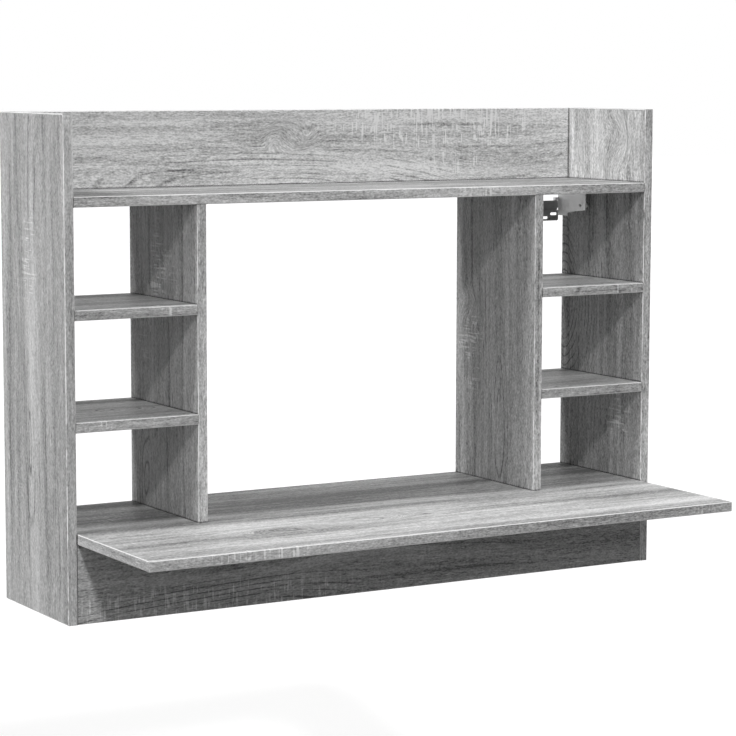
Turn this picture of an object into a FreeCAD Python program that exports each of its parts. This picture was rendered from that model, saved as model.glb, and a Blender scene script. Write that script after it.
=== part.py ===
import FreeCAD
import Part
import math
import os

# A wall-hung desk of wood-grain boards: an open shelf cabinet with a deep fixed desktop,
# hung on two brackets that adjust in height and in depth.
# Millimetres, +X to the right, +Y to the wall, +Z up. The origin lies on the wall,
# midway between the outer upper slots of the two wall plates.

V = FreeCAD.Vector
RIGHT = V(1, 0, 0)
BACK = V(0, 1, 0)
UP = V(0, 0, 1)
LEFT = RIGHT * -1
FRONT = BACK * -1
DOWN = UP * -1

# Cabinet
width = 1000.0
depth = 224.0
board = 15.0
bay_height = 142.0
side_bay_width = 189.5
crest_height = 114.0
apron_height = 114.0
desktop_depth = 456.0
small_shelf_setback = 2.0

# Edge strips
edging = 2.0
edging_round_share = 0.8

# Board fittings
fit_gap = 0.05
end_gap = 1.0
overrun = 5.0
dowel_radius = 4.0
dowel_length = 30.0
dowel_seat = 10.0
dowel_inset = 37.0
rail_dowel_inset = 27.0
rail_dowel_count = 4
cam_radius = 7.5
cam_height = 12.0
cam_setback = 34.0
cam_inset = 69.0
bolt_radius = 2.5
bolt_seat = 11.0
bolt_head_radius = 3.2
bolt_head_length = 3.0
divider_screw_radius = 3.0
divider_screw_length = 50.0
divider_screw_head_radius = 5.0
divider_screw_head_height = 4.0
recess_width = 1.2
recess_depth = 2.0
recess_share = 1.3

# Hanger housing: sizes run from the side panel's inner face, the wall and the top shelf's underside
housing_thickness = 12.0
housing_wall = 1.5
housing_back = 4.0
housing_length = 77.0
housing_front_drop = 34.5
housing_step_drop = 40.5
boss_length = 26.5
boss_drop = 46.0
post_radius = 4.5
fixing_reach = 67.0
fixing_drop = 27.5
fixing_head_radius = 2.8
fixing_head_height = 2.4
fixing_head_seat = 4.0
fixing_shank_radius = 1.75
fixing_shank_length = 15.0
peg_reach = 44.0
peg_drop = 29.0
peg_radius = 4.0
peg_length = 9.0
rib_reach = 57.0
rib_thickness = 3.0
rib_drop = 20.0

# Adjusting screws
screw_radius = 2.0
screw_gap = 0.05
screw_end_play = 0.1
screw_head_radius = 3.6
screw_head_height = 3.5
screw_collar_radius = 3.0
screw_collar_height = 0.8
screw_inset = 5.5
height_screw_reach = 10.0
depth_screw_drop = 9.5
depth_screw_tip_reach = 15.5

# Carriage and hook
slide_gap = 0.4
carriage_back = 5.0
carriage_front = 32.0
carriage_plate = 3.0
carriage_drop = 37.0
carriage_web_back = 16.0
hook_wall_gap = 0.8
hook_thickness = 2.5
hook_tip_inset = 19.5
hook_root_inset = 1.0
hook_height = 5.0
nose_length = 8.0
bridge_reach = 7.5
arm_width = 9.0
arm_reach = 15.0

# Wall plate
plate_gap = 1.0
plate_overlap = 2.0
plate_width = 60.0
plate_height = 33.0
plate_thickness = 2.0
plate_top_drop = 22.0
plate_standoff = 4.0
plate_lip_height = 11.0
plate_corner_radius = 3.0
plate_bend_radius = 0.9
slot_width = 4.5
upper_slot_length = 13.5
upper_slot_inset = 9.0
upper_slot_drop = 22.0
lower_slot_length = 20.0
lower_slot_drop = 28.0

# Places that follow from the sizes, with heights counted from the upper slots
inner = width / 2 - board
divider_outer = inner - side_bay_width
divider_inner = divider_outer - board
divider_middle = (divider_outer + divider_inner) / 2
underside = plate_top_drop + upper_slot_drop
shelf_top = underside + board
top = shelf_top + crest_height
upper_shelf_top = underside - bay_height
lower_shelf_top = upper_shelf_top - board - bay_height
desk_top = lower_shelf_top - board - bay_height
desk_under = desk_top - board
bottom = desk_under - apron_height
crest_middle = -board / 2
apron_middle = -depth + board / 2
dowel_rows = (-dowel_inset, -depth + dowel_inset)
cam_rows = (-cam_inset, -depth + cam_inset)
housing_front = housing_back + housing_length
boss_front = housing_back + boss_length


def save(name, solids):
    """Writes one node: a single solid, or a group of alike ones."""
    shape = solids[0] if len(solids) == 1 else Part.makeCompound(solids)
    shape.exportStep(os.path.join("parts", name + ".step"))


def block(low, high):
    """A box between two corners."""
    size = high - low
    return Part.makeBox(size.x, size.y, size.z, low)


def rod(point, way, radius, start, end):
    """A round rod along a direction, between two distances past a point."""
    return Part.makeCylinder(radius, end - start, point + way * start, way)


def prism(corners, rise):
    """A flat outline pushed along a vector."""
    return Part.Face(Part.makePolygon(corners + corners[:1])).extrude(rise)


def cross_recess(point, outward, radius):
    """Two crossed driver slots that sink into a round head whose face is at a point."""
    along = V(outward.y, outward.z, outward.x)
    across = outward.cross(along)
    half_length = radius * recess_share / 2
    half_width = recess_width / 2
    floor = point - outward * recess_depth
    slots = []
    for a, b in ((along, across), (across, along)):
        long_side = a * half_length
        short_side = b * half_width
        corners = [floor + long_side + short_side, floor - long_side + short_side,
                   floor - long_side - short_side, floor + long_side - short_side]
        slots.append(prism(corners, outward * (recess_depth + overrun)))
    return slots


def edge_strip(low, high, outward):
    """A glued edge strip with its two long outer corners rounded."""
    strip = block(low, high)
    middle = strip.BoundBox.Center
    corners = [edge for edge in strip.Edges
               if edge.Length > board + edging and (edge.CenterOfMass - middle).dot(outward) > 0]
    return strip.makeFillet(edging * edging_round_share, corners)


def bored(shape, bores):
    """The shape with every bore that reaches it."""
    reaching = [bore for bore in bores if bore.BoundBox.intersect(shape.BoundBox)]
    return shape.cut(reaching).Solids[0] if reaching else shape


# Board joints: each is a point on the joint and the way from the panel's face into the other board

def end_joints(left, right, y, z):
    """The two ends of a board that runs from left to right."""
    return [(V(left, y, z), RIGHT), (V(right, y, z), LEFT)]


def long_boards():
    """Left end, right end and middle height of the boards between the side panels."""
    return [(-inner, inner, underside + board / 2), (-inner, inner, desk_under + board / 2)]


def small_boards():
    """Left end, right end and middle height of the small shelves."""
    boards = []
    for shelf in (upper_shelf_top, lower_shelf_top):
        boards.append((-inner, -divider_outer, shelf - board / 2))
        boards.append((divider_outer, inner, shelf - board / 2))
    return boards


def dowel_joints():
    joints = []
    for left, right, middle in long_boards() + small_boards():
        for y in dowel_rows:
            joints += end_joints(left, right, y, middle)
    for inset in (rail_dowel_inset, crest_height - rail_dowel_inset):
        joints += end_joints(-inner, inner, crest_middle, shelf_top + inset)
    for inset in (rail_dowel_inset, apron_height - rail_dowel_inset):
        joints += end_joints(-inner, inner, apron_middle, bottom + inset)
    step = 2 * inner / rail_dowel_count
    for k in range(rail_dowel_count):
        x = -inner + step * (k + 1 / 2)
        joints.append((V(x, crest_middle, shelf_top), UP))
        joints.append((V(x, apron_middle, desk_under), DOWN))
    for x in (-divider_middle, divider_middle):
        for y in dowel_rows:
            joints.append((V(x, y, underside), DOWN))
            joints.append((V(x, y, desk_top), UP))
    return joints


def cam_joints():
    """Joints drawn tight by a cam, with the way to the board face that the cam lies in."""
    joints = []
    for left, right, middle in long_boards():
        for y in cam_rows:
            joints += [joint + (DOWN,) for joint in end_joints(left, right, y, middle)]
    for left, right, middle in small_boards():
        joints += [joint + (DOWN,) for joint in end_joints(left, right, -depth / 2, middle)]
    joints += [joint + (BACK,) for joint in end_joints(-inner, inner, crest_middle, shelf_top + crest_height / 2)]
    joints += [joint + (BACK,) for joint in end_joints(-inner, inner, apron_middle, bottom + apron_height / 2)]
    return joints


def divider_screw_places():
    return [V(x, y, desk_under) for x in (-divider_middle, divider_middle) for y in cam_rows]


def wooden_dowels():
    return [rod(point, way, dowel_radius, -dowel_seat, dowel_length - dowel_seat)
            for point, way in dowel_joints()]


def dowel_bores():
    return [rod(point, way, dowel_radius + fit_gap, -dowel_seat - end_gap, dowel_length - dowel_seat + end_gap)
            for point, way in dowel_joints()]


def cam_locks():
    """Turned discs with a tunnel that grips the bolt's head and a driver cross in the open face."""
    cams = []
    for point, way, face in cam_joints():
        centre = point + way * cam_setback
        cam = rod(centre, face, cam_radius, board / 2 - cam_height, board / 2)
        tunnel = rod(centre, way, bolt_head_radius + fit_gap, -cam_radius - overrun, bolt_head_length / 2 + fit_gap)
        cross = cross_recess(centre + face * (board / 2), face, cam_radius)
        cams.append(cam.cut([tunnel] + cross).Solids[0])
    return cams


def cam_bolts():
    bolts = []
    for point, way, face in cam_joints():
        shank = rod(point, way, bolt_radius, -bolt_seat, cam_setback)
        head_start = cam_setback - bolt_head_length / 2
        head = rod(point, way, bolt_head_radius, head_start, head_start + bolt_head_length)
        bolts.append(shank.fuse(head).removeSplitter().Solids[0])
    return bolts


def cam_bores():
    """For each cam: its pocket, the bolt's way to it and the bolt's seat in the panel."""
    bores = []
    for point, way, face in cam_joints():
        centre = point + way * cam_setback
        bores.append(rod(centre, face, cam_radius + fit_gap, board / 2 - cam_height - fit_gap, board / 2 + overrun))
        bores.append(rod(point, way, bolt_head_radius + fit_gap, 0, cam_setback))
        bores.append(rod(point, way, bolt_radius + fit_gap, -bolt_seat - end_gap, 0))
    return bores


def countersunk(point, way, head_radius, head_height, radius, length):
    """A countersunk screw whose head lies flush at a point."""
    head = Part.makeCone(head_radius, radius, head_height, point, way)
    return head.fuse(rod(point, way, radius, 0, length)).removeSplitter().Solids[0]


def divider_screws():
    screws = []
    for point in divider_screw_places():
        screw = countersunk(point, UP, divider_screw_head_radius, divider_screw_head_height,
                            divider_screw_radius, divider_screw_length)
        cross = cross_recess(point, DOWN, divider_screw_head_radius)
        screws.append(screw.cut(cross).Solids[0])
    return screws


def divider_screw_bores():
    return [countersunk(point, UP, divider_screw_head_radius + fit_gap, divider_screw_head_height + fit_gap,
                        divider_screw_radius + fit_gap, divider_screw_length + end_gap)
            for point in divider_screw_places()]


# Hangers, made on the right side panel: inset from its inner face, reach from the wall, drop from the top shelf

def at(inset, reach, drop):
    return V(inner - inset, -reach, underside - drop)


def outline_prism(outline, inset, far_inset):
    """A side outline of reach and drop pairs, pushed from one inset to another."""
    corners = [at(inset, reach, drop) for reach, drop in outline]
    return prism(corners, LEFT * (far_inset - inset))


def bracket_block(insets, reaches, drops):
    """A box in the hanger's own measures."""
    return outline_prism([(reaches[0], drops[0]), (reaches[1], drops[0]),
                          (reaches[1], drops[1]), (reaches[0], drops[1])], insets[0], insets[1])


def hanger_housing():
    """A cover with a top and one side, open to the panel, with a rib, a screw post and a locating peg."""
    shell = outline_prism([(housing_back, 0), (housing_front, 0), (housing_front, housing_front_drop),
                           (boss_front, housing_step_drop), (boss_front, boss_drop), (housing_back, boss_drop)],
                          0, housing_thickness)
    cavity = bracket_block((-overrun, housing_thickness - housing_wall),
                           (housing_back - overrun, housing_front + overrun),
                           (housing_wall, boss_drop + overrun))
    rib = bracket_block((0, housing_thickness), (rib_reach, rib_reach + rib_thickness), (0, rib_drop))
    fixing = at(0, fixing_reach, fixing_drop)
    peg = at(0, peg_reach, peg_drop)
    posts = [rod(fixing, LEFT, post_radius, 0, housing_thickness), rod(peg, LEFT, post_radius, 0, housing_thickness),
             rod(peg, LEFT, peg_radius, -peg_length, housing_thickness)]
    bores = [rod(fixing, LEFT, fixing_head_radius + fit_gap, fixing_head_seat, housing_thickness + overrun),
             rod(fixing, LEFT, fixing_shank_radius + fit_gap, -overrun, fixing_head_seat),
             rod(at(screw_inset, rib_reach, depth_screw_drop), FRONT, screw_radius + screw_gap,
                 -overrun, rib_thickness + overrun)]
    return shell.cut(cavity).fuse([rib] + posts).removeSplitter().cut(bores).Solids[0]


def hanger_fixing_screw():
    point = at(0, fixing_reach, fixing_drop)
    head = rod(point, LEFT, fixing_head_radius, fixing_head_seat, fixing_head_seat + fixing_head_height)
    shank = rod(point, LEFT, fixing_shank_radius, fixing_head_seat - fixing_shank_length, fixing_head_seat)
    face = point + LEFT * (fixing_head_seat + fixing_head_height)
    cross = cross_recess(face, LEFT, fixing_head_radius)
    return head.fuse(shank).removeSplitter().cut(cross).Solids[0]


def housing_bores():
    """Seats in the side panel for the housing's peg and fixing screw."""
    peg = at(0, peg_reach, peg_drop)
    fixing = at(0, fixing_reach, fixing_drop)
    return [rod(peg, RIGHT, peg_radius + fit_gap, 0, peg_length + end_gap),
            rod(fixing, RIGHT, fixing_shank_radius + fit_gap, 0, fixing_shank_length - fixing_head_seat + end_gap)]


def carriage_top_drop():
    return housing_wall + slide_gap


def carriage():
    """A C-shaped slide: two plates that hold the height screw and a web that the depth screw threads through."""
    top_drop = carriage_top_drop()
    outline = [(carriage_back, top_drop), (carriage_front, top_drop), (carriage_front, carriage_drop),
               (carriage_back, carriage_drop), (carriage_back, carriage_drop - carriage_plate),
               (carriage_web_back, carriage_drop - carriage_plate), (carriage_web_back, top_drop + carriage_plate),
               (carriage_back, top_drop + carriage_plate)]
    frame = outline_prism(outline, slide_gap, housing_thickness - housing_wall - slide_gap)
    height_bore = rod(at(screw_inset, height_screw_reach, carriage_drop), UP, screw_radius + screw_gap,
                      -overrun, carriage_drop)
    depth_bore = rod(at(screw_inset, carriage_web_back, depth_screw_drop), FRONT, screw_radius + screw_gap,
                     -overrun, carriage_front - carriage_web_back + overrun)
    return frame.cut([height_bore, depth_bore]).Solids[0]


def hook():
    """A strip behind the housing that turns down behind the wall plate's lip, with an arm for the height screw."""
    upper_drop = plate_top_drop - hook_height
    heights = (upper_drop, plate_top_drop)
    strip_back = hook_wall_gap
    strip_front = hook_wall_gap + hook_thickness
    lip_side = housing_thickness + plate_gap
    strip = bracket_block((hook_root_inset, hook_tip_inset), (strip_back, strip_front), heights)
    bridge = bracket_block((lip_side, hook_tip_inset), (strip_back, bridge_reach), heights)
    nose = bracket_block((lip_side, hook_tip_inset), (strip_back, strip_front),
                         (plate_top_drop, plate_top_drop + nose_length))
    arm = bracket_block((hook_root_inset, hook_root_inset + arm_width), (strip_back, arm_reach), heights)
    thread = rod(at(screw_inset, height_screw_reach, plate_top_drop), UP, screw_radius + screw_gap,
                 -overrun, hook_height + overrun)
    return strip.fuse([bridge, nose, arm]).removeSplitter().cut(thread).Solids[0]


def adjusting_screw(seat, inward, captive_length, length):
    """A screw whose head and collar hold a wall between them, with its head seated at a point."""
    head = rod(seat, inward, screw_head_radius, -screw_end_play - screw_head_height, -screw_end_play)
    shank = rod(seat, inward, screw_radius, -screw_end_play, length)
    collar_start = captive_length + screw_end_play
    collar = rod(seat, inward, screw_collar_radius, collar_start, collar_start + screw_collar_height)
    face = seat - inward * (screw_end_play + screw_head_height)
    cross = cross_recess(face, inward * -1, screw_head_radius)
    return head.fuse([shank, collar]).removeSplitter().cut(cross).Solids[0]


def height_screw():
    """Upright in the carriage, its head below the lower plate and its tip in the upper one."""
    seat = at(screw_inset, height_screw_reach, carriage_drop)
    length = carriage_drop - carriage_top_drop() - carriage_plate / 2
    return adjusting_screw(seat, UP, carriage_plate, length)


def depth_screw():
    """Level in the housing's rib, its head to the front and its tip in the carriage's web."""
    rib_front = rib_reach + rib_thickness
    seat = at(screw_inset, rib_front, depth_screw_drop)
    return adjusting_screw(seat, BACK, rib_thickness, rib_front - depth_screw_tip_reach)


def wall_slot(inset, drop, length):
    """A level slot with round ends, right through the plate."""
    half = length / 2 - slot_width / 2
    reaches = (-overrun, plate_thickness + overrun)
    middle = bracket_block((inset - half, inset + half), reaches, (drop - slot_width / 2, drop + slot_width / 2))
    ends = [rod(at(inset + side * half, 0, drop), FRONT, slot_width / 2, -overrun, plate_thickness + overrun)
            for side in (-1, 1)]
    return middle.fuse(ends)


def plate_blank(insets, drops):
    """A block with rounded corners, as deep as the bent plate."""
    blank = bracket_block(insets, (-overrun, plate_standoff + plate_thickness + overrun), drops)
    corners = [edge for edge in blank.Edges if edge.BoundBox.YLength > plate_standoff]
    return blank.makeFillet(plate_corner_radius, corners)


def wall_plate():
    """A steel plate with a flange on the wall and a narrower lip that stands off it for the hook."""
    near = housing_thickness - plate_overlap
    far = near + plate_width
    shoulder = plate_overlap + plate_gap
    lower = plate_top_drop + plate_height
    lip_end = plate_top_drop + plate_lip_height
    bend_end = lip_end + plate_standoff
    bend_shift = plate_thickness * (math.sqrt(2) - 1)
    outline = [(0, lower), (plate_thickness, lower), (plate_thickness, bend_end),
               (plate_standoff + plate_thickness, lip_end), (plate_standoff + plate_thickness, plate_top_drop),
               (plate_standoff, plate_top_drop), (plate_standoff, lip_end - bend_shift), (0, bend_end - bend_shift)]
    sheet = outline_prism(outline, near, far)
    bends = [edge for edge in sheet.Edges if edge.BoundBox.XLength > plate_width / 2
             and underside - lower < edge.CenterOfMass.z - plate_thickness < edge.CenterOfMass.z
             < underside - plate_top_drop - plate_thickness]
    sheet = sheet.makeFillet(plate_bend_radius, bends)
    flange = plate_blank((near, far), (bend_end, lower))
    blank = flange.fuse(plate_blank((near + shoulder, far - shoulder), (plate_top_drop, lower)))
    slots = [wall_slot(near + upper_slot_inset, plate_top_drop + upper_slot_drop, upper_slot_length),
             wall_slot(far - upper_slot_inset, plate_top_drop + upper_slot_drop, upper_slot_length),
             wall_slot((near + far) / 2, plate_top_drop + lower_slot_drop, lower_slot_length)]
    return sheet.common(blank).cut(slots).Solids[0]


def mirrored(shape):
    """The same piece on the left side."""
    return shape.mirror(V(0, 0, 0), RIGHT)


# Boards and their edge strips, each drilled for the fittings that reach it

def side_panel(side, bores):
    """One upright side with strips on its front, top and bottom edges; side is -1 on the left and 1 on the right."""
    low, high = sorted((side * inner, side * width / 2))
    name = "left_side" if side < 0 else "right_side"
    behind = -depth + edging
    panel = block(V(low, behind, bottom + edging), V(high, 0, top - edging))
    save(name + "_panel", [bored(panel, bores)])
    save(name + "_front_edging", [edge_strip(V(low, -depth, bottom), V(high, behind, top), FRONT)])
    save(name + "_top_edging", [edge_strip(V(low, behind, top - edging), V(high, 0, top), UP)])
    save(name + "_bottom_edging", [edge_strip(V(low, behind, bottom), V(high, 0, bottom + edging), DOWN)])


def front_edged_board(name, low, high, bores):
    """A board with a strip on its front edge."""
    behind = low.y + edging
    save(name, [bored(block(V(low.x, behind, low.z), high), bores)])
    save(name + "_front_edging", [edge_strip(low, V(high.x, behind, high.z), FRONT)])


def small_shelf(name, left, right, shelf, bores):
    front_edged_board(name, V(left, -depth, shelf - board), V(right, -small_shelf_setback, shelf), bores)


def crest_board(bores):
    save("crest_board", [bored(block(V(-inner, -board, shelf_top), V(inner, 0, top - edging)), bores)])
    save("crest_top_edging", [edge_strip(V(-inner, -board, top - edging), V(inner, 0, top), UP)])


def apron_board(bores):
    behind = -depth + board
    panel = block(V(-inner, -depth, bottom + edging), V(inner, behind, desk_under))
    save("apron_board", [bored(panel, bores)])
    save("apron_bottom_edging", [edge_strip(V(-inner, -depth, bottom), V(inner, behind, bottom + edging), DOWN)])


def desktop(bores):
    """The writing board, with strips on its front and on both ends."""
    end = inner - edging
    behind = -desktop_depth + edging
    save("desktop", [bored(block(V(-end, behind, desk_under), V(end, 0, desk_top)), bores)])
    front = edge_strip(V(-inner, -desktop_depth, desk_under), V(inner, behind, desk_top), FRONT)
    save("desktop_front_edging", [front])
    left = edge_strip(V(-inner, behind, desk_under), V(-end, 0, desk_top), LEFT)
    save("desktop_left_edging", [bored(left, bores)])
    right = edge_strip(V(end, behind, desk_under), V(inner, 0, desk_top), RIGHT)
    save("desktop_right_edging", [bored(right, bores)])


def boards():
    right_bores = housing_bores()
    bores = dowel_bores() + cam_bores() + divider_screw_bores() + right_bores
    bores += [mirrored(bore) for bore in right_bores]
    for side in (-1, 1):
        side_panel(side, bores)
    crest_board(bores)
    apron_board(bores)
    desktop(bores)
    front_edged_board("top_shelf", V(-inner, -depth, underside), V(inner, 0, shelf_top), bores)
    front_edged_board("left_divider", V(-divider_outer, -depth, desk_top), V(-divider_inner, 0, underside), bores)
    front_edged_board("right_divider", V(divider_inner, -depth, desk_top), V(divider_outer, 0, underside), bores)
    small_shelf("left_upper_shelf", -inner, -divider_outer, upper_shelf_top, bores)
    small_shelf("left_lower_shelf", -inner, -divider_outer, lower_shelf_top, bores)
    small_shelf("right_upper_shelf", divider_outer, inner, upper_shelf_top, bores)
    small_shelf("right_lower_shelf", divider_outer, inner, lower_shelf_top, bores)


def fittings():
    save("wooden_dowels", wooden_dowels())
    save("cam_locks", cam_locks())
    save("cam_bolts", cam_bolts())
    save("divider_screws", divider_screws())


def hangers():
    pieces = {"hanger_housing": hanger_housing(), "hanger_carriage": carriage(), "hook": hook(),
              "height_screw": height_screw(), "depth_screw": depth_screw(), "wall_plate": wall_plate()}
    for name, piece in pieces.items():
        save("right_" + name, [piece])
        save("left_" + name, [mirrored(piece)])
    fixing = hanger_fixing_screw()
    save("hanger_fixing_screws", [mirrored(fixing), fixing])


os.makedirs("parts", exist_ok=True)
boards()
fittings()
hangers()
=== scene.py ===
import math
from typing import NamedTuple

import bpy
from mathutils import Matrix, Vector


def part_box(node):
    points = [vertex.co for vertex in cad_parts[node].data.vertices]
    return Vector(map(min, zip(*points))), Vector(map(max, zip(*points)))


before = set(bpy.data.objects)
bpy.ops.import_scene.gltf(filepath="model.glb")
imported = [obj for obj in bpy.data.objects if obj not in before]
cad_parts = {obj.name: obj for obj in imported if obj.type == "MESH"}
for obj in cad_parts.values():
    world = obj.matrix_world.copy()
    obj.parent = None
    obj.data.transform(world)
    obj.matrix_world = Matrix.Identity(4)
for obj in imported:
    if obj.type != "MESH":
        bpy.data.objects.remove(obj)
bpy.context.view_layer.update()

bl_info = {
    "name": "Wall desk",
    "version": (1, 0, 0),
    "blender": (4, 5, 0),
    "location": "3D View > Sidebar > Wall desk",
    "description": "Dresses the wall-hung desk in sawn-oak boards and metal hangers, and sets its stage",
    "category": "Object",
}


class Cut(NamedTuple):
    """How boards of one kind are cut: grain along the first axis, wide face in the first two."""
    axes: tuple
    highlight_gaps: float  # share of the painted arris highlight that the breaks take away


class Mark(NamedTuple):
    """One kind of mark in the grain, and what it does to the wood."""
    along: float  # count a metre along the grain
    across: float  # count a metre across the grain
    detail: float = 1.0
    rough: float = 0.5
    edge: tuple = ()  # noise at which a sharp mark starts and is full
    moved: tuple = (0.0, 0.0, 0.0)
    lift: float = 0.0  # how much paler it makes the wood
    dulling: float = 0.0  # how much rougher it makes the wood
    rise: float = 0.0  # how far it stands out

    @property
    def middle(self):
        """The value from which the mark counts."""
        return 0.0 if self.edge else MIDDLE


class Lamp(NamedTuple):
    """A lamp's place and width in degrees; the way round counts from the front, negative to the left."""
    height: float
    way_round: float
    width: float


UPRIGHT = Cut(("Z", "Y", "X"), 0.85)
LEVEL = Cut(("X", "Y", "Z"), 0.20)
RAIL = Cut(("X", "Z", "Y"), 0.30)
CROSSWISE = Cut(("Y", "X", "Z"), 0.20)

# A place that no board reaches and a reach, for a figure that a board doesn't have
NOWHERE = ((9.0, 9.0, 9.0), (1.0, 1.0, 1.0))

# Tones of edge strips that are paler or darker than their board
STRIP_TONES = {
    "left_side_panel": 0.54,
    "top_shelf": 0.46,
    "right_upper_shelf": 0.52,
    "right_lower_shelf": 0.31,
}

# Middle of a noise, from which a soft mark counts up or down
MIDDLE = 0.5

# Marks that make up the fine grain
FINE_MARKS = {
    "streaks": Mark(3.5, 85.0, detail=2.0, lift=0.75),
    "fibres": Mark(75.0, 420.0, detail=2.0, rough=0.6, lift=0.95, dulling=0.25, rise=0.6),
    "speckle": Mark(250.0, 560.0, lift=0.95, rise=0.3),
    "dashes": Mark(62.0, 360.0, edge=(0.60, 0.72), lift=0.18),
    "pores": Mark(48.0, 440.0, edge=(0.60, 0.74), moved=(0.3, 0.7, 0.2),
                  lift=-0.20, dulling=0.12, rise=-0.5),
    "cracks": Mark(2.6, 95.0, edge=(0.62, 0.74), moved=(0.9, 0.4, 0.1), lift=-0.26),
}

# Broad bands, which each board shows more or less
BANDS = Mark(1.2, 22.0, detail=2.0)

# The grain wanders sideways by up to about half of this length
DRIFT = Mark(1.7, 7.0, detail=2.0)
DRIFT_SIZE = 0.045

# Cathedral figure: rings a metre, how far bands and drift bend them, and how round the ovals are
RINGS = 120.0
RING_BANDS = 2.2
RING_DRIFT = 0.05
OVAL_SHARE = 0.6

# Its dark lines, which lie around each whole ring, and where they break off
HALF_RING = 0.5
LINE_EDGE = (0.34, 0.48)
LINE_BREAKS = Mark(7.0, 40.0, edge=(0.34, 0.54))
LINE_LIFT = -0.50

# A curl turns the grain by this angle in radians at its middle, and thins the dark lines
CURL_TURN = 0.55
CURL_THINNING = 0.5

# Cross cuts of the saw, in chosen patches and in a few stray ones
SAW_CUTS = Mark(300.0, 20.0, edge=(0.53, 0.62))
CUT_BREAKS = Mark(60.0, 80.0, edge=(0.38, 0.56))
STRAY_PATCHES = Mark(7.0, 15.0, edge=(0.62, 0.70))
STRAY_SHARE = 0.4
SAW_RISE = 0.4

# A patch of painted shade, darker where the board lies in shadow
PAINTED_SHADE_LIFT = -0.32

# A patch is full up to this share of its reach
SPOT_CORE = 0.35

# The painted highlight on the rounded arris: where its turn starts and is full, its polish and lacquer, and
# the noise that breaks it into stretches
ARRIS_EDGE = (0.02, 0.16)
ARRIS_POLISH = 0.15
ARRIS_COAT = 0.8
COAT_ROUGHNESS = 0.35
HIGHLIGHT_BREAKS = Mark(45.0, 150.0, detail=2.0, edge=(0.40, 0.62))

# A face that looks to the wall by this much is raw
RAW_EDGE = (0.5, 0.7)

# Painted shade in joints and inner corners: it starts and is full where this share of the surroundings is
# open
SEAM_SHADE_EDGE = (0.95, 0.60)
SEAM_SHADE_STRENGTH = 0.9
SEAM_SHADE_COLOUR = (0.03, 0.03, 0.03)

# Board faces: gloss, and strength of the pressed grain
BOARD_GLOSS = 0.15
BOARD_BUMP = 0.6

# Metal pieces: strength of their unevenness, weld distance as a share of the soft edge, and sharp angle
METAL_BUMP = 0.4
WELD_SHARE = 0.05
SHARP_ANGLE = math.radians(40)

# The strength of each lamp is the stage setting of the same name
LAMPS = {
    "left_lamp": Lamp(50.0, -90.0, 18.0),
    "front_lamp": Lamp(37.6, -16.0, 5.0),
    "front_fill": Lamp(20.0, 0.0, 40.0),
    "right_fill": Lamp(20.0, 90.0, 40.0),
    "left_fill": Lamp(20.0, -62.0, 60.0),
    "back_lamp": Lamp(0.5, 180.0, 4.0),
}

SOCKET_KINDS = {"value": "NodeSocketFloat", "colour": "NodeSocketColor", "place": "NodeSocketVector"}


def colour_property(name, description, value):
    return bpy.props.FloatVectorProperty(name=name, description=description, subtype="COLOR", size=3,
                                         min=0.0, max=1.0, default=value)


def factor_property(name, description, value):
    return bpy.props.FloatProperty(name=name, description=description, subtype="FACTOR",
                                   min=0.0, max=1.0, default=value)


def length_property(name, description, value):
    return bpy.props.FloatProperty(name=name, description=description, unit="LENGTH", min=0.0, default=value,
                                   precision=5)


def strength_property(name, description, value):
    return bpy.props.FloatProperty(name=name, description=description, min=0.0, default=value)


class WALLDESK_PG_boards(bpy.types.PropertyGroup):
    """Colours and finish of the wood-grain boards."""
    pale: colour_property("Pale grain", "Colour of the lightest fibres", (0.90, 0.90, 0.90))
    dark: colour_property("Dark grain", "Colour of the darkest grain lines", (0.15, 0.15, 0.15))
    # Painted highlight: near-white colour laid on the rounded corners of the edge strips where they catch
    # the light
    arris_highlight: colour_property("Arris", "Colour of the rounded corners of the edge strips", (0.97, 0.97, 0.97))
    chip_pale: colour_property("Pale chips", "Colour of the lighter chips in a raw edge", (0.56, 0.53, 0.49))
    chip_dark: colour_property("Dark chips", "Colour of the darker chips in a raw edge", (0.25, 0.23, 0.20))
    roughness: factor_property("Roughness", "Roughness of the satin board face", 0.52)
    # Painted shade: how far the darkening in joints and inner corners reaches
    seam_shade_reach: length_property("Seam width", "How far the dark line at a board joint reaches", 0.0026)
    relief: length_property("Grain relief", "Depth of the pressed grain", 0.00012)


class WALLDESK_PG_fittings(bpy.types.PropertyGroup):
    """Colours and soft edges of the hangers, screws, cams and dowels."""
    housing: colour_property("Housing", "Dull zinc plating of the hanger housings", (0.80, 0.80, 0.80))
    zinc: colour_property("Cast zinc", "Carriages and cam discs", (0.58, 0.58, 0.59))
    steel: colour_property("Plated steel", "Screws, bolts and hooks", (0.72, 0.72, 0.73))
    plate: colour_property("Wall plate", "Dark phosphated wall plates", (0.34, 0.34, 0.345))
    dowel: colour_property("Dowels", "Plain beech dowels", (0.66, 0.57, 0.45))
    soft_edge: length_property("Soft edge", "Rounding of the sharp edges of the hangers", 0.0004)


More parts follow.
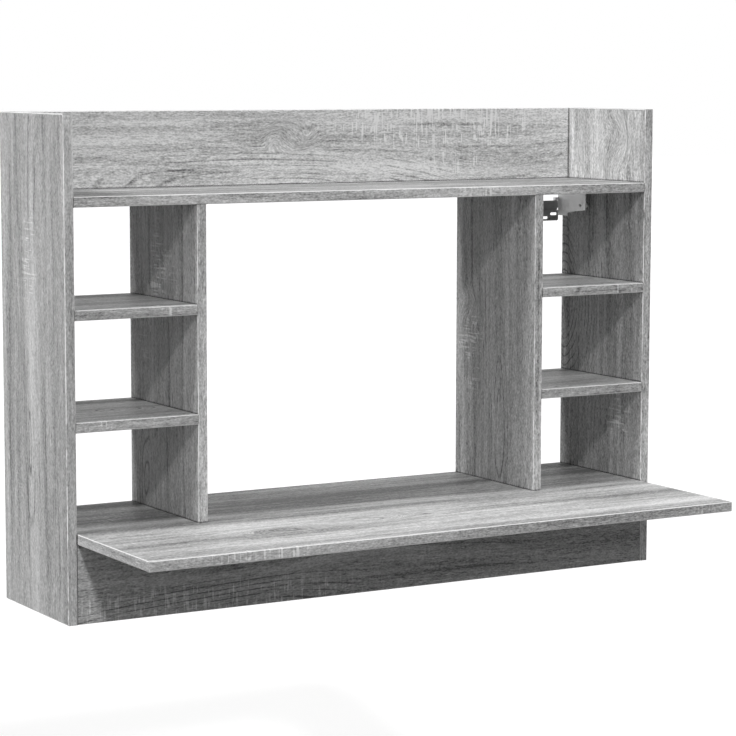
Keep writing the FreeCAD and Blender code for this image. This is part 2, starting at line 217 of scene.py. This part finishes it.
class WALLDESK_PG_stage(bpy.types.PropertyGroup):
    """Camera, lamps and floor."""
    camera_place: bpy.props.FloatVectorProperty(
        name="Camera place", description="Where the camera stands", subtype="TRANSLATION", unit="LENGTH",
        size=3, default=(-1.9479, -3.5237, 0.2356))
    camera_turn: bpy.props.FloatVectorProperty(
        name="Camera turn", description="How the camera is turned", subtype="EULER", unit="ROTATION",
        size=3, default=(math.radians(83.437), math.radians(-0.110), math.radians(-30.347)))
    lens: bpy.props.FloatProperty(
        name="Lens", description="Focal length of the camera", unit="CAMERA", default=127.4)
    desk_height: length_property("Desk height", "Height of the desktop over the floor", 0.75)
    floor_size: length_property("Floor size", "Side of the square floor", 60.0)
    floor_pale: colour_property("Floor", "Colour of the floor where it is seen", (0.75, 0.75, 0.75))
    floor_dull: colour_property("Floor bounce", "Colour of the floor for returned light", (0.14, 0.14, 0.14))
    floor_glow: strength_property("Floor glow", "Light of the seen floor, which brings it to white", 0.36)
    left_lamp: strength_property("Left lamp", "Strength of the main lamp on the left", 0.74)
    front_lamp: strength_property("Front lamp", "Strength of the smaller lamp in front", 0.41)
    front_fill: strength_property("Front fill", "Strength of the low wide lamp in front", 0.09)
    right_fill: strength_property("Right fill", "Strength of the low wide lamp on the right", 0.36)
    left_fill: strength_property("Left fill", "Strength of the low wide lamp on the left", 0.11)
    back_lamp: strength_property("Back lamp", "Strength of the low lamp behind", 0.42)
    dome: strength_property("Dome", "Strength of the even light from all around", 0.04)


# Short hands for node trees

class Wiring:
    """Adds nodes to one node tree and joins their sockets."""

    def __init__(self, tree):
        self.tree = tree

    def add(self, kind, feeds=None, **settings):
        node = self.tree.nodes.new(kind)
        for name, value in settings.items():
            setattr(node, name, value)
        for socket, value in (feeds or {}).items():
            self.feed(node.inputs[socket], value)
        return node

    def feed(self, socket, value):
        if isinstance(value, bpy.types.NodeSocket):
            self.tree.links.new(value, socket)
        else:
            socket.default_value = value

    def math(self, operation, first, second=0.0):
        return self.add("ShaderNodeMath", {0: first, 1: second}, operation=operation).outputs[0]

    def vector(self, operation, first, second=(0.0, 0.0, 0.0), result="Vector"):
        return self.add("ShaderNodeVectorMath", {0: first, 1: second}, operation=operation).outputs[result]

    def scaled(self, vector, scale):
        return self.add("ShaderNodeVectorMath", {0: vector, "Scale": scale}, operation="SCALE").outputs[0]

    def split(self, vector):
        """The X, Y and Z of a vector."""
        return self.add("ShaderNodeSeparateXYZ", {0: vector}).outputs

    def total(self, *terms):
        """Sum of weighted values, each counted from its own middle."""
        result = None
        for value, middle, weight in terms:
            part = self.math("MULTIPLY", self.math("SUBTRACT", value, middle), weight)
            result = part if result is None else self.math("ADD", result, part)
        return result

    def blend(self, factor, first, second):
        """Mix of two colours, with the node's sockets by number, because their names repeat."""
        mix = self.add("ShaderNodeMix", {0: factor, 6: first, 7: second}, data_type="RGBA")
        return mix.outputs[2]

    def step(self, value, low, high):
        """0 up to low, 1 from high on, and smooth between them."""
        return self.add("ShaderNodeMapRange", {"Value": value, "From Min": low, "From Max": high},
                        interpolation_type="SMOOTHSTEP").outputs[0]

    def noise(self, place, along, across, detail=2.0, rough=0.5, output="Fac"):
        """Noise with a count of features a metre along the grain and across it."""
        stretched = self.vector("MULTIPLY", place, (along, across, across))
        node = self.add("ShaderNodeTexNoise", {"Vector": stretched, "Scale": 1.0, "Detail": detail,
                                               "Roughness": rough})
        return node.outputs[output]

    def mark(self, place, kind):
        """One kind of mark in the grain: its noise, or a mask where the kind has an edge."""
        if any(kind.moved):
            place = self.vector("ADD", place, kind.moved)
        value = self.noise(place, kind.along, kind.across, kind.detail, kind.rough)
        return self.step(value, *kind.edge) if kind.edge else value

    def spot(self, place, centre, reach):
        """A soft patch around a point."""
        away = self.vector("DIVIDE", self.vector("SUBTRACT", place, centre), reach)
        return self.step(self.vector("LENGTH", away, result="Value"), 1.0, SPOT_CORE)

    def effect(self, tree, feeds):
        """Places a shared node group and gives its outputs."""
        return self.add("ShaderNodeGroup", feeds, node_tree=tree).outputs


def new_group(name, inputs, outputs):
    """An empty node group with its named sockets: its wiring, and the sockets on each side."""
    tree = bpy.data.node_groups.new(name, "ShaderNodeTree")
    for side, sockets in (("INPUT", inputs), ("OUTPUT", outputs)):
        for socket, kind in sockets.items():
            tree.interface.new_socket(socket, in_out=side, socket_type=SOCKET_KINDS[kind])
    wires = Wiring(tree)
    return wires, wires.add("NodeGroupInput").outputs, wires.add("NodeGroupOutput").inputs


# Shared effects

def cathedral_lines(w, given, turned, drift, bands, grain):
    """Broken oval lines around the heart of a board's figure."""
    apart = w.split(w.vector("SUBTRACT", turned, given["Heart"]))
    reach = w.split(given["Heart Reach"])
    slope = w.math("MULTIPLY", w.math("DIVIDE", reach["Y"], reach["X"]), OVAL_SHARE)
    along = w.math("MULTIPLY", apart["X"], slope)
    across = w.math("ADD", apart["Y"], w.math("MULTIPLY", drift, RING_DRIFT))
    ring = w.math("SQRT", w.math("ADD", w.math("POWER", along, 2.0), w.math("POWER", across, 2.0)))
    turn = w.math("ADD", w.math("MULTIPLY", ring, RINGS), w.math("MULTIPLY", bands, RING_BANDS))
    fold = w.math("ABSOLUTE", w.math("SUBTRACT", w.math("FRACT", turn), HALF_RING))
    return w.math("MULTIPLY", w.step(fold, *LINE_EDGE), w.mark(grain, LINE_BREAKS))


def saw_marks(w, given, board, place):
    """Cross cuts in the board's own patch and in stray ones."""
    cuts = w.math("MULTIPLY", w.mark(board, SAW_CUTS), w.mark(place, CUT_BREAKS))
    chosen = w.spot(board, given["Saw"], given["Saw Reach"])
    stray = w.math("MULTIPLY", w.mark(place, STRAY_PATCHES), STRAY_SHARE)
    return w.math("MULTIPLY", cuts, w.math("MAXIMUM", chosen, stray))


def shares_of(fine, deed):
    """The fine marks that do one thing to the wood, each with its middle and its weight."""
    kinds = [(name, kind, getattr(kind, deed)) for name, kind in FINE_MARKS.items()]
    return [(fine[name], kind.middle, weight) for name, kind, weight in kinds if weight]


def sawn_oak_group():
    """Grey sawn oak: bands, fibres and pores, a cathedral figure, a curl, saw marks and a patch of painted
    shade.
    """
    w, given, out = new_group(
        "Sawn oak",
        {"Place": "place", "Shift": "place", "Pale": "colour", "Dark": "colour", "Roughness": "value",
         "Tone": "value", "Contrast": "value", "Banding": "value", "Heart": "place", "Heart Reach": "place",
         "Curl": "place", "Curl Reach": "place", "Saw": "place", "Saw Reach": "place",
         "Painted Shade": "place", "Painted Shade Reach": "place"},
        {"Color": "colour", "Roughness": "value", "Height": "value"})
    board = given["Place"]
    heart = w.spot(board, given["Heart"], given["Heart Reach"])
    curl = w.spot(board, given["Curl"], given["Curl Reach"])
    # Painted shade: a soft patch that darkens the board where it lies in shadow
    painted_shade = w.spot(board, given["Painted Shade"], given["Painted Shade Reach"])

    turned = w.add("ShaderNodeVectorRotate", {"Vector": board, "Center": given["Curl"],
                                              "Angle": w.math("MULTIPLY", curl, CURL_TURN)},
                   rotation_type="Z_AXIS").outputs[0]
    place = w.vector("ADD", turned, given["Shift"])
    drift = w.math("SUBTRACT", w.mark(place, DRIFT), MIDDLE)
    sideways = w.math("MULTIPLY", drift, DRIFT_SIZE)
    grain = w.vector("ADD", place, w.add("ShaderNodeCombineXYZ", {"Y": sideways, "Z": sideways}).outputs[0])

    bands = w.mark(grain, BANDS)
    fine = {name: w.mark(grain, kind) for name, kind in FINE_MARKS.items()}
    lines = cathedral_lines(w, given, turned, drift, bands, grain)
    lines = w.math("MULTIPLY", lines, w.math("SUBTRACT", heart, w.math("MULTIPLY", curl, CURL_THINNING)))
    saw = saw_marks(w, given, board, place)

    broad = w.math("MULTIPLY", w.math("SUBTRACT", bands, MIDDLE), given["Banding"])
    paler = w.math("MULTIPLY", saw, given["Tone"])
    figures = w.total((lines, 0.0, LINE_LIFT), (paler, 0.0, 1.0), (painted_shade, 0.0, PAINTED_SHADE_LIFT))
    lifts = w.math("MULTIPLY", w.total(*shares_of(fine, "lift")), given["Contrast"])
    tone = w.math("ADD", w.math("ADD", w.math("ADD", lifts, figures), broad), given["Tone"])
    tone = w.add("ShaderNodeClamp", {"Value": tone}).outputs[0]
    w.feed(out["Color"], w.blend(tone, given["Dark"], given["Pale"]))
    uneven = w.total(*shares_of(fine, "dulling"))
    w.feed(out["Roughness"], w.math("ADD", given["Roughness"], uneven))
    w.feed(out["Height"], w.total(*shares_of(fine, "rise"), (saw, 0.0, SAW_RISE)))
    return w.tree


def arris_group():
    """Finds the rounded corners, where the surface faces between two of the main directions."""
    w, given, out = new_group("Rounded arris", {"Start": "value", "Full": "value"}, {"Mask": "value"})
    facing = w.split(w.vector("ABSOLUTE", w.add("ShaderNodeTexCoord").outputs["Normal"]))
    most = w.math("MAXIMUM", w.math("MAXIMUM", facing["X"], facing["Y"]), facing["Z"])
    w.feed(out["Mask"], w.step(w.math("SUBTRACT", 1.0, most), given["Start"], given["Full"]))
    return w.tree


def seam_group():
    """Finds the inner corners where one board meets the next, by how closed in they are, as a mask for
    painted shade.
    """
    w, given, out = new_group("Seam shade", {"Reach": "value"}, {"Mask": "value"})
    occlusion = w.add("ShaderNodeAmbientOcclusion", {"Distance": given["Reach"]}, samples=3)
    w.feed(out["Mask"], w.step(occlusion.outputs["AO"], *SEAM_SHADE_EDGE))
    return w.tree


def chipboard_group():
    """The raw core of a board: pressed chips of several shades."""
    w, given, out = new_group("Raw chipboard", {"Place": "place", "Pale": "colour", "Dark": "colour"},
                              {"Color": "colour", "Height": "value"})
    warp_count, warp_size = 120.0, 0.004
    chip_counts = (420.0, 700.0, 420.0)
    dust_count = 900.0
    chip_share, dust_share, gap_depth = 0.7, 0.4, 0.5
    warp = w.noise(given["Place"], warp_count, warp_count, 1.0, output="Color")
    place = w.vector("ADD", given["Place"], w.scaled(warp, warp_size))
    chips = w.add("ShaderNodeTexVoronoi", {"Vector": w.vector("MULTIPLY", place, chip_counts), "Scale": 1.0})
    shade = w.add("ShaderNodeSeparateColor", {0: chips.outputs["Color"]}).outputs[0]
    dust = w.noise(place, dust_count, dust_count)
    tone = w.math("ADD", w.math("MULTIPLY", shade, chip_share), w.math("MULTIPLY", dust, dust_share))
    w.feed(out["Color"], w.blend(tone, given["Dark"], given["Pale"]))
    gaps = w.math("MULTIPLY", chips.outputs["Distance"], gap_depth)
    w.feed(out["Height"], w.math("SUBTRACT", dust, gaps))
    return w.tree


def mottle_group():
    """Slight unevenness of a cast, plated or moulded surface."""
    w, given, out = new_group("Fine mottle", {"Color": "colour", "Amount": "value", "Grain": "value",
                                              "Roughness": "value"},
                              {"Color": "colour", "Roughness": "value", "Height": "value"})
    cloud_count, cloud_share, grit_share, rough_share = 90.0, 1.2, 0.8, 0.2
    place = w.add("ShaderNodeTexCoord").outputs["Object"]
    cloud = w.noise(place, cloud_count, cloud_count, 3.0)
    grit = w.add("ShaderNodeTexNoise", {"Vector": place, "Scale": given["Grain"], "Detail": 2.0})
    grit = grit.outputs["Fac"]
    uneven = w.total((cloud, MIDDLE, cloud_share), (grit, MIDDLE, grit_share))
    lit = w.math("ADD", w.math("MULTIPLY", uneven, given["Amount"]), 1.0)
    w.feed(out["Color"], w.scaled(given["Color"], lit))
    w.feed(out["Roughness"], w.math("ADD", given["Roughness"], w.math("MULTIPLY", uneven, rough_share)))
    w.feed(out["Height"], grit)
    return w.tree


SHARED = {"Sawn oak": sawn_oak_group, "Rounded arris": arris_group, "Seam shade": seam_group,
          "Raw chipboard": chipboard_group, "Fine mottle": mottle_group}


def shared(name):
    """A shared effect, built the first time it is asked for."""
    return bpy.data.node_groups.get(name) or SHARED[name]()


# Materials

def opaque(colour):
    """A colour with its alpha."""
    return (*colour, 1.0)


def blank_material(name):
    """A material with only its shader and output: the material, its wiring and its shader."""
    material = bpy.data.materials.new(name)
    material.use_nodes = True
    shader = material.node_tree.nodes["Principled BSDF"]
    return material, Wiring(material.node_tree), shader


def oak_material(name, look, cut, grain, raw_back=False):
    """Grey sawn oak for a board and its edge strips, with bare chipboard on a back that is left raw, a
    painted highlight on the rounded arris and painted shade in inner corners.
    """
    material, w, shader = blank_material(name)
    coordinates = w.add("ShaderNodeTexCoord").outputs
    parts = w.split(coordinates["Object"])
    place = w.add("ShaderNodeCombineXYZ", {k: parts[axis] for k, axis in enumerate(cut.axes)}).outputs[0]
    oak = w.effect(shared("Sawn oak"), {"Place": place, "Pale": opaque(look.pale), "Dark": opaque(look.dark),
                                        "Roughness": look.roughness, **grain})
    colour, height = oak["Color"], oak["Height"]
    # Painted highlight: the rounded arris is blended towards a near-white colour, broken into stretches by
    # noise
    start, full = ARRIS_EDGE
    arris_highlight = w.effect(shared("Rounded arris"), {"Start": start, "Full": full})["Mask"]
    whole = w.math("ADD", w.math("MULTIPLY", w.mark(place, HIGHLIGHT_BREAKS), cut.highlight_gaps), 1.0 - cut.highlight_gaps)
    arris_highlight = w.math("MULTIPLY", arris_highlight, whole)
    colour = w.blend(arris_highlight, colour, opaque(look.arris_highlight))
    if raw_back:
        chips = w.effect(shared("Raw chipboard"), {"Place": coordinates["Object"],
                                                   "Pale": opaque(look.chip_pale),
                                                   "Dark": opaque(look.chip_dark)})
        raw = w.step(w.split(coordinates["Normal"])["Y"], *RAW_EDGE)
        colour = w.blend(raw, colour, chips["Color"])
        height = w.math("ADD", height, w.math("MULTIPLY", raw, chips["Height"]))
    # Painted shade: joints and inner corners darkened where the surroundings are closed in
    seam_shade = w.effect(shared("Seam shade"), {"Reach": look.seam_shade_reach})["Mask"]
    colour = w.blend(w.math("MULTIPLY", seam_shade, SEAM_SHADE_STRENGTH), colour, opaque(SEAM_SHADE_COLOUR))
    w.feed(shader.inputs["Base Color"], colour)
    polish = w.math("MULTIPLY", arris_highlight, ARRIS_POLISH)
    w.feed(shader.inputs["Roughness"], w.math("SUBTRACT", oak["Roughness"], polish))
    shader.inputs["Specular IOR Level"].default_value = BOARD_GLOSS
    w.feed(shader.inputs["Coat Weight"], w.math("MULTIPLY", arris_highlight, ARRIS_COAT))
    shader.inputs["Coat Roughness"].default_value = COAT_ROUGHNESS
    bump = w.add("ShaderNodeBump", {"Strength": BOARD_BUMP, "Distance": look.relief, "Height": height})
    w.feed(shader.inputs["Normal"], bump.outputs[0])
    return material


def figure(shift, tone, contrast, banding, heart=NOWHERE, saw=NOWHERE, curl=NOWHERE, painted_shade=NOWHERE):
    """The grain of one board: where it is cut from, how pale and banded it is, and where its figures lie."""
    sockets = {"Shift": shift, "Tone": tone, "Contrast": contrast, "Banding": banding}
    for name, (centre, reach) in {"Heart": heart, "Saw": saw, "Curl": curl, "Painted Shade": painted_shade}.items():
        sockets[name] = centre
        sockets[name + " Reach"] = reach
    return sockets


def metal_material(name, colour, metallic, roughness, amount, grain, relief):
    """A cast, plated or coated surface with slight unevenness."""
    material, w, shader = blank_material(name)
    mottle = w.effect(shared("Fine mottle"), {"Color": opaque(colour), "Amount": amount, "Grain": grain,
                                              "Roughness": roughness})
    w.feed(shader.inputs["Base Color"], mottle["Color"])
    w.feed(shader.inputs["Roughness"], mottle["Roughness"])
    shader.inputs["Metallic"].default_value = metallic
    bump = w.add("ShaderNodeBump", {"Strength": METAL_BUMP, "Distance": relief, "Height": mottle["Height"]})
    w.feed(shader.inputs["Normal"], bump.outputs[0])
    return material


def coat(names, material):
    """Gives CAD pieces a material."""
    for name in names:
        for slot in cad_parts[name].material_slots:
            slot.material = material


def soften(names, width):
    """Rounds the sharp edges of metal pieces."""
    for name in names:
        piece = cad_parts[name]
        weld = piece.modifiers.new("Weld", "WELD")
        weld.merge_threshold = width * WELD_SHARE
        bevel = piece.modifiers.new("Soft edges", "BEVEL")
        bevel.width = width
        bevel.segments = 2
        bevel.limit_method = "ANGLE"
        bevel.angle_limit = SHARP_ANGLE


def strips_of(board):
    """The edge strips of a board."""
    stem = board.removesuffix("_panel").removesuffix("_board")
    return [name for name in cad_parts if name.startswith(stem + "_") and name.endswith("_edging")]


def dress_board(board, look, cut, grain, raw_back=False):
    """Gives a board and its edge strips one grain, with the strips' own tone where they have one."""
    coat([board] + strips_of(board), oak_material(board, look, cut, grain, raw_back))
    if board in STRIP_TONES:
        strip_grain = dict(grain, Tone=STRIP_TONES[board])
        coat(strips_of(board), oak_material(board + "_strips", look, cut, strip_grain))


def both(stem):
    """A piece's name on the left and on the right."""
    return ["left_" + stem, "right_" + stem]


# Operators, one for each group of like pieces

class WALLDESK_OT_uprights(bpy.types.Operator):
    """Gives the side panels and dividers upright grain"""
    bl_idname = "wall_desk.dress_uprights"
    bl_label = "Dress uprights"

    def execute(self, context):
        look = context.scene.wall_desk_boards
        figures = {
            "left_side_panel": figure(
                shift=(0.0, 0.0, 0.0), tone=0.40, contrast=0.80, banding=0.92,
                heart=((-0.30, -0.10, -0.5), (0.16, 0.03, 0.1)),
                saw=((-0.03, -0.10, -0.5), (0.09, 0.035, 0.1))),
            "right_side_panel": figure(
                shift=(3.1, 0.4, 0.7), tone=0.51, contrast=1.05, banding=0.80,
                heart=((-0.14, 0.0, 0.485), (0.19, 0.18, 0.1)),
                saw=((-0.32, -0.16, 0.485), (0.05, 0.04, 0.1)),
                curl=((0.10, -0.15, 0.485), (0.07, 0.05, 0.1))),
            "left_divider": figure(
                shift=(5.3, 1.1, 0.2), tone=0.52, contrast=1.00, banding=0.80,
                heart=((-0.37, -0.05, -0.29), (0.12, 0.05, 0.1)),
                saw=((-0.05, -0.095, -0.29), (0.08, 0.04, 0.1))),
            "right_divider": figure(
                shift=(7.7, 0.3, 0.9), tone=0.44, contrast=0.95, banding=0.90,
                heart=((-0.316, -0.128, 0.28), (0.14, 0.04, 0.1)),
                saw=((-0.21, -0.045, 0.28), (0.085, 0.05, 0.1)),
                curl=((-0.153, -0.035, 0.28), (0.05, 0.045, 0.1))),
        }
        for board, grain in figures.items():
            dress_board(board, look, UPRIGHT, grain, raw_back=True)
        return {"FINISHED"}


class WALLDESK_OT_levels(bpy.types.Operator):
    """Gives the desktop and the shelves grain from left to right"""
    bl_idname = "wall_desk.dress_levels"
    bl_label = "Dress desktop and shelves"

    def execute(self, context):
        look = context.scene.wall_desk_boards
        figures = {
            "desktop": figure(
                shift=(1.3, 0.62, 0.1), tone=0.42, contrast=0.90, banding=1.35,
                heart=((-0.12, -0.325, -0.41), (0.26, 0.045, 0.1)),
                saw=((-0.32, -0.456, -0.42), (0.13, 0.012, 0.05)),
                curl=((-0.14, -0.325, -0.41), (0.15, 0.034, 0.1)),
                # Painted shade on the rear of the desktop, which lies in shadow under the top shelf
                painted_shade=((0.0, -0.02, -0.41), (1.5, 0.22, 0.1))),
            "top_shelf": figure(
                shift=(2.6, 0.8, 0.3), tone=0.28, contrast=1.00, banding=0.9,
                heart=((0.25, -0.12, 0.05), (0.2, 0.05, 0.1)),
                saw=((0.18, -0.224, 0.05), (0.05, 0.02, 0.05))),
            "left_upper_shelf": figure(
                shift=(4.2, 0.5, 0.6), tone=0.44, contrast=0.85, banding=0.9,
                heart=((-0.40, -0.2, -0.1), (0.08, 0.05, 0.1)),
                saw=((-0.35, -0.22, -0.1), (0.03, 0.02, 0.05))),
            "left_lower_shelf": figure(
                shift=(6.4, 0.9, 0.4), tone=0.41, contrast=0.85, banding=0.9,
                heart=((-0.36, -0.12, -0.26), (0.08, 0.05, 0.1)),
                saw=((-0.45, -0.22, -0.26), (0.03, 0.02, 0.05))),
            "right_upper_shelf": figure(
                shift=(8.1, 0.6, 0.8), tone=0.62, contrast=0.85, banding=0.9,
                heart=((0.40, -0.2, -0.1), (0.08, 0.05, 0.1)),
                saw=((0.45, -0.22, -0.1), (0.03, 0.02, 0.05))),
            "right_lower_shelf": figure(
                shift=(9.5, 0.1, 0.5), tone=0.50, contrast=0.75, banding=0.9,
                heart=((0.38, -0.2, -0.26), (0.09, 0.05, 0.1)),
                saw=((0.33, -0.22, -0.26), (0.03, 0.02, 0.05))),
        }
        for board, grain in figures.items():
            dress_board(board, look, LEVEL, grain, raw_back=True)
        return {"FINISHED"}


class WALLDESK_OT_rails(bpy.types.Operator):
    """Gives the crest board and the apron grain from left to right"""
    bl_idname = "wall_desk.dress_rails"
    bl_label = "Dress crest and apron"

    def execute(self, context):
        look = context.scene.wall_desk_boards
        figures = {
            "crest_board": figure(
                shift=(0.6, 1.4, 0.2), tone=0.70, contrast=1.08, banding=0.7,
                heart=((-0.04, 0.040, -0.015), (0.45, 0.125, 0.1)),
                saw=((0.235, 0.147, -0.015), (0.24, 0.045, 0.1)),
                curl=((-0.031, 0.130, -0.015), (0.055, 0.030, 0.1))),
            "apron_board": figure(
                shift=(2.2, 2.3, 0.6), tone=0.37, contrast=0.85, banding=1.0,
                heart=((-0.26, -0.560, -0.224), (0.42, 0.105, 0.1)),
                saw=((-0.28, -0.525, -0.224), (0.36, 0.038, 0.1))),
        }
        for board, grain in figures.items():
            dress_board(board, look, RAIL, grain)
        return {"FINISHED"}


class WALLDESK_OT_end_strips(bpy.types.Operator):
    """Gives the strips on the ends of the desktop and the side panels grain from wall to front"""
    bl_idname = "wall_desk.dress_end_strips"
    bl_label = "Dress end strips"

    def execute(self, context):
        look = context.scene.wall_desk_boards
        ends = ["desktop_left_edging", "desktop_right_edging"]
        ends += both("side_top_edging") + both("side_bottom_edging")
        grain = figure(shift=(3.7, 1.9, 0.4), tone=0.46, contrast=0.80, banding=0.6)
        coat(ends, oak_material("end_strips", look, CROSSWISE, grain))
        return {"FINISHED"}


class WALLDESK_OT_hangers(bpy.types.Operator):
    """Finishes the hanger housings, carriages, hooks and wall plates"""
    bl_idname = "wall_desk.finish_hangers"
    bl_label = "Finish hangers"

    def execute(self, context):
        look = context.scene.wall_desk_fittings
        coat(both("hanger_housing"), metal_material(
            "dull_zinc", look.housing, metallic=0.85, roughness=0.70,
            amount=0.06, grain=1800.0, relief=0.00003))
        coat(both("hanger_carriage"), metal_material(
            "cast_zinc", look.zinc, metallic=0.9, roughness=0.48,
            amount=0.18, grain=1200.0, relief=0.0001))
        coat(both("hook"), metal_material(
            "plated_hook", look.steel, metallic=0.6, roughness=0.50,
            amount=0.12, grain=1500.0, relief=0.00006))
        coat(both("wall_plate"), metal_material(
            "dark_plate", look.plate, metallic=0.3, roughness=0.50,
            amount=0.35, grain=1400.0, relief=0.00006))
        soften(both("hanger_housing") + both("hook") + both("hanger_carriage"), look.soft_edge)
        return {"FINISHED"}


class WALLDESK_OT_fasteners(bpy.types.Operator):
    """Finishes the screws, bolts, cams and dowels"""
    bl_idname = "wall_desk.finish_fasteners"
    bl_label = "Finish fasteners"

    def execute(self, context):
        look = context.scene.wall_desk_fittings
        screws = both("height_screw") + both("depth_screw")
        screws += ["cam_bolts", "divider_screws", "hanger_fixing_screws"]
        coat(screws, metal_material(
            "bright_plating", look.steel, metallic=1.0, roughness=0.28,
            amount=0.12, grain=2400.0, relief=0.00004))
        coat(["cam_locks"], metal_material(
            "cast_cams", look.zinc, metallic=0.9, roughness=0.5,
            amount=0.2, grain=1300.0, relief=0.0001))
        coat(["wooden_dowels"], metal_material(
            "beech", look.dowel, metallic=0.0, roughness=0.6,
            amount=0.2, grain=700.0, relief=0.00015))
        return {"FINISHED"}


def soft_lamp(name, strength, lamp):
    """A wide lamp far away, whose strength is the brightness of a white sheet that faces it."""
    rise, way_round = math.radians(lamp.height), math.radians(lamp.way_round)
    flat = math.cos(rise)
    towards = Vector((math.sin(way_round) * flat, -math.cos(way_round) * flat, math.sin(rise)))
    light = bpy.data.lights.new(name, "SUN")
    light.energy = strength * math.pi
    light.angle = math.radians(lamp.width)
    stand = bpy.data.objects.new(name, light)
    stand.rotation_euler = towards.to_track_quat("Z", "Y").to_euler()
    bpy.context.scene.collection.objects.link(stand)


def seen_by_eye(w):
    """1 for rays that show the surroundings to the camera, also in a mirror or through glass."""
    path = w.add("ShaderNodeLightPath").outputs
    return w.math("MAXIMUM", w.math("MAXIMUM", path["Is Camera Ray"], path["Is Glossy Ray"]),
                  path["Is Transmission Ray"])


class WALLDESK_OT_stage(bpy.types.Operator):
    """Sets the floor, lamps, surroundings and camera"""
    bl_idname = "wall_desk.set_stage"
    bl_label = "Set stage"

    def execute(self, context):
        stage = context.scene.wall_desk_stage
        self.lay_floor(stage)
        self.light(stage)
        self.place_camera(context.scene, stage)
        context.scene.view_settings.view_transform = "Standard"
        return {"FINISHED"}

    def lay_floor(self, stage):
        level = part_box("desktop")[1].z - stage.desk_height
        half = stage.floor_size / 2
        mesh = bpy.data.meshes.new("floor")
        corners = [(-half, -half, level), (half, -half, level), (half, half, level), (-half, half, level)]
        mesh.from_pydata(corners, [], [(0, 1, 2, 3)])
        floor = bpy.data.objects.new("floor", mesh)
        bpy.context.scene.collection.objects.link(floor)
        material = bpy.data.materials.new("pale_floor")
        material.use_nodes = True
        w = Wiring(material.node_tree)
        w.tree.nodes.clear()
        dull = w.add("ShaderNodeBsdfDiffuse", {"Color": opaque(stage.floor_dull)}).outputs[0]
        pale = w.add("ShaderNodeBsdfDiffuse", {"Color": opaque(stage.floor_pale)}).outputs[0]
        glow = w.add("ShaderNodeEmission", {"Strength": stage.floor_glow}).outputs[0]
        bright = w.add("ShaderNodeAddShader", {0: pale, 1: glow}).outputs[0]
        surface = w.add("ShaderNodeMixShader", {0: seen_by_eye(w), 1: dull, 2: bright}).outputs[0]
        w.add("ShaderNodeOutputMaterial", {"Surface": surface})
        mesh.materials.append(material)

    def light(self, stage):
        for name, lamp in LAMPS.items():
            soft_lamp(name, getattr(stage, name), lamp)
        world = bpy.data.worlds.new("pale_surroundings")
        bpy.context.scene.world = world
        world.use_nodes = True
        w = Wiring(world.node_tree)
        w.tree.nodes.clear()
        backdrop = w.add("ShaderNodeMix", {0: seen_by_eye(w), 2: stage.dome, 3: 1.0}, data_type="FLOAT")
        sky = w.add("ShaderNodeBackground", {"Color": (1.0, 1.0, 1.0, 1.0), "Strength": backdrop.outputs[0]})
        w.add("ShaderNodeOutputWorld", {"Surface": sky.outputs[0]})

    def place_camera(self, scene, stage):
        camera = bpy.data.cameras.new("camera")
        camera.lens = stage.lens
        stand = bpy.data.objects.new("camera", camera)
        stand.location = stage.camera_place
        stand.rotation_euler = stage.camera_turn
        scene.collection.objects.link(stand)
        scene.camera = stand


class WALLDESK_PT_build(bpy.types.Panel):
    """Lists the settings and the steps of the wall desk"""
    bl_idname = "WALLDESK_PT_build"
    bl_label = "Wall desk"
    bl_space_type = "VIEW_3D"
    bl_region_type = "UI"
    bl_category = "Wall desk"

    def draw(self, context):
        for settings in SETTINGS:
            box = self.layout.box()
            group = getattr(context.scene, settings)
            for name in group.__annotations__:
                box.prop(group, name)
        for step in STEPS:
            self.layout.operator(step.bl_idname)


SETTINGS = {"wall_desk_boards": WALLDESK_PG_boards, "wall_desk_fittings": WALLDESK_PG_fittings,
            "wall_desk_stage": WALLDESK_PG_stage}
STEPS = [WALLDESK_OT_uprights, WALLDESK_OT_levels, WALLDESK_OT_rails, WALLDESK_OT_end_strips,
         WALLDESK_OT_hangers, WALLDESK_OT_fasteners, WALLDESK_OT_stage]


def register():
    for name, group in SETTINGS.items():
        bpy.utils.register_class(group)
        setattr(bpy.types.Scene, name, bpy.props.PointerProperty(type=group))
    for step in STEPS:
        bpy.utils.register_class(step)
    bpy.utils.register_class(WALLDESK_PT_build)


def unregister():
    bpy.utils.unregister_class(WALLDESK_PT_build)
    for step in reversed(STEPS):
        bpy.utils.unregister_class(step)
    for name, group in SETTINGS.items():
        delattr(bpy.types.Scene, name)
        bpy.utils.unregister_class(group)


def main():
    register()
    for step in STEPS:
        area, name = step.bl_idname.split(".")
        getattr(getattr(bpy.ops, area), name)()


if __name__ == "__main__":
    main()
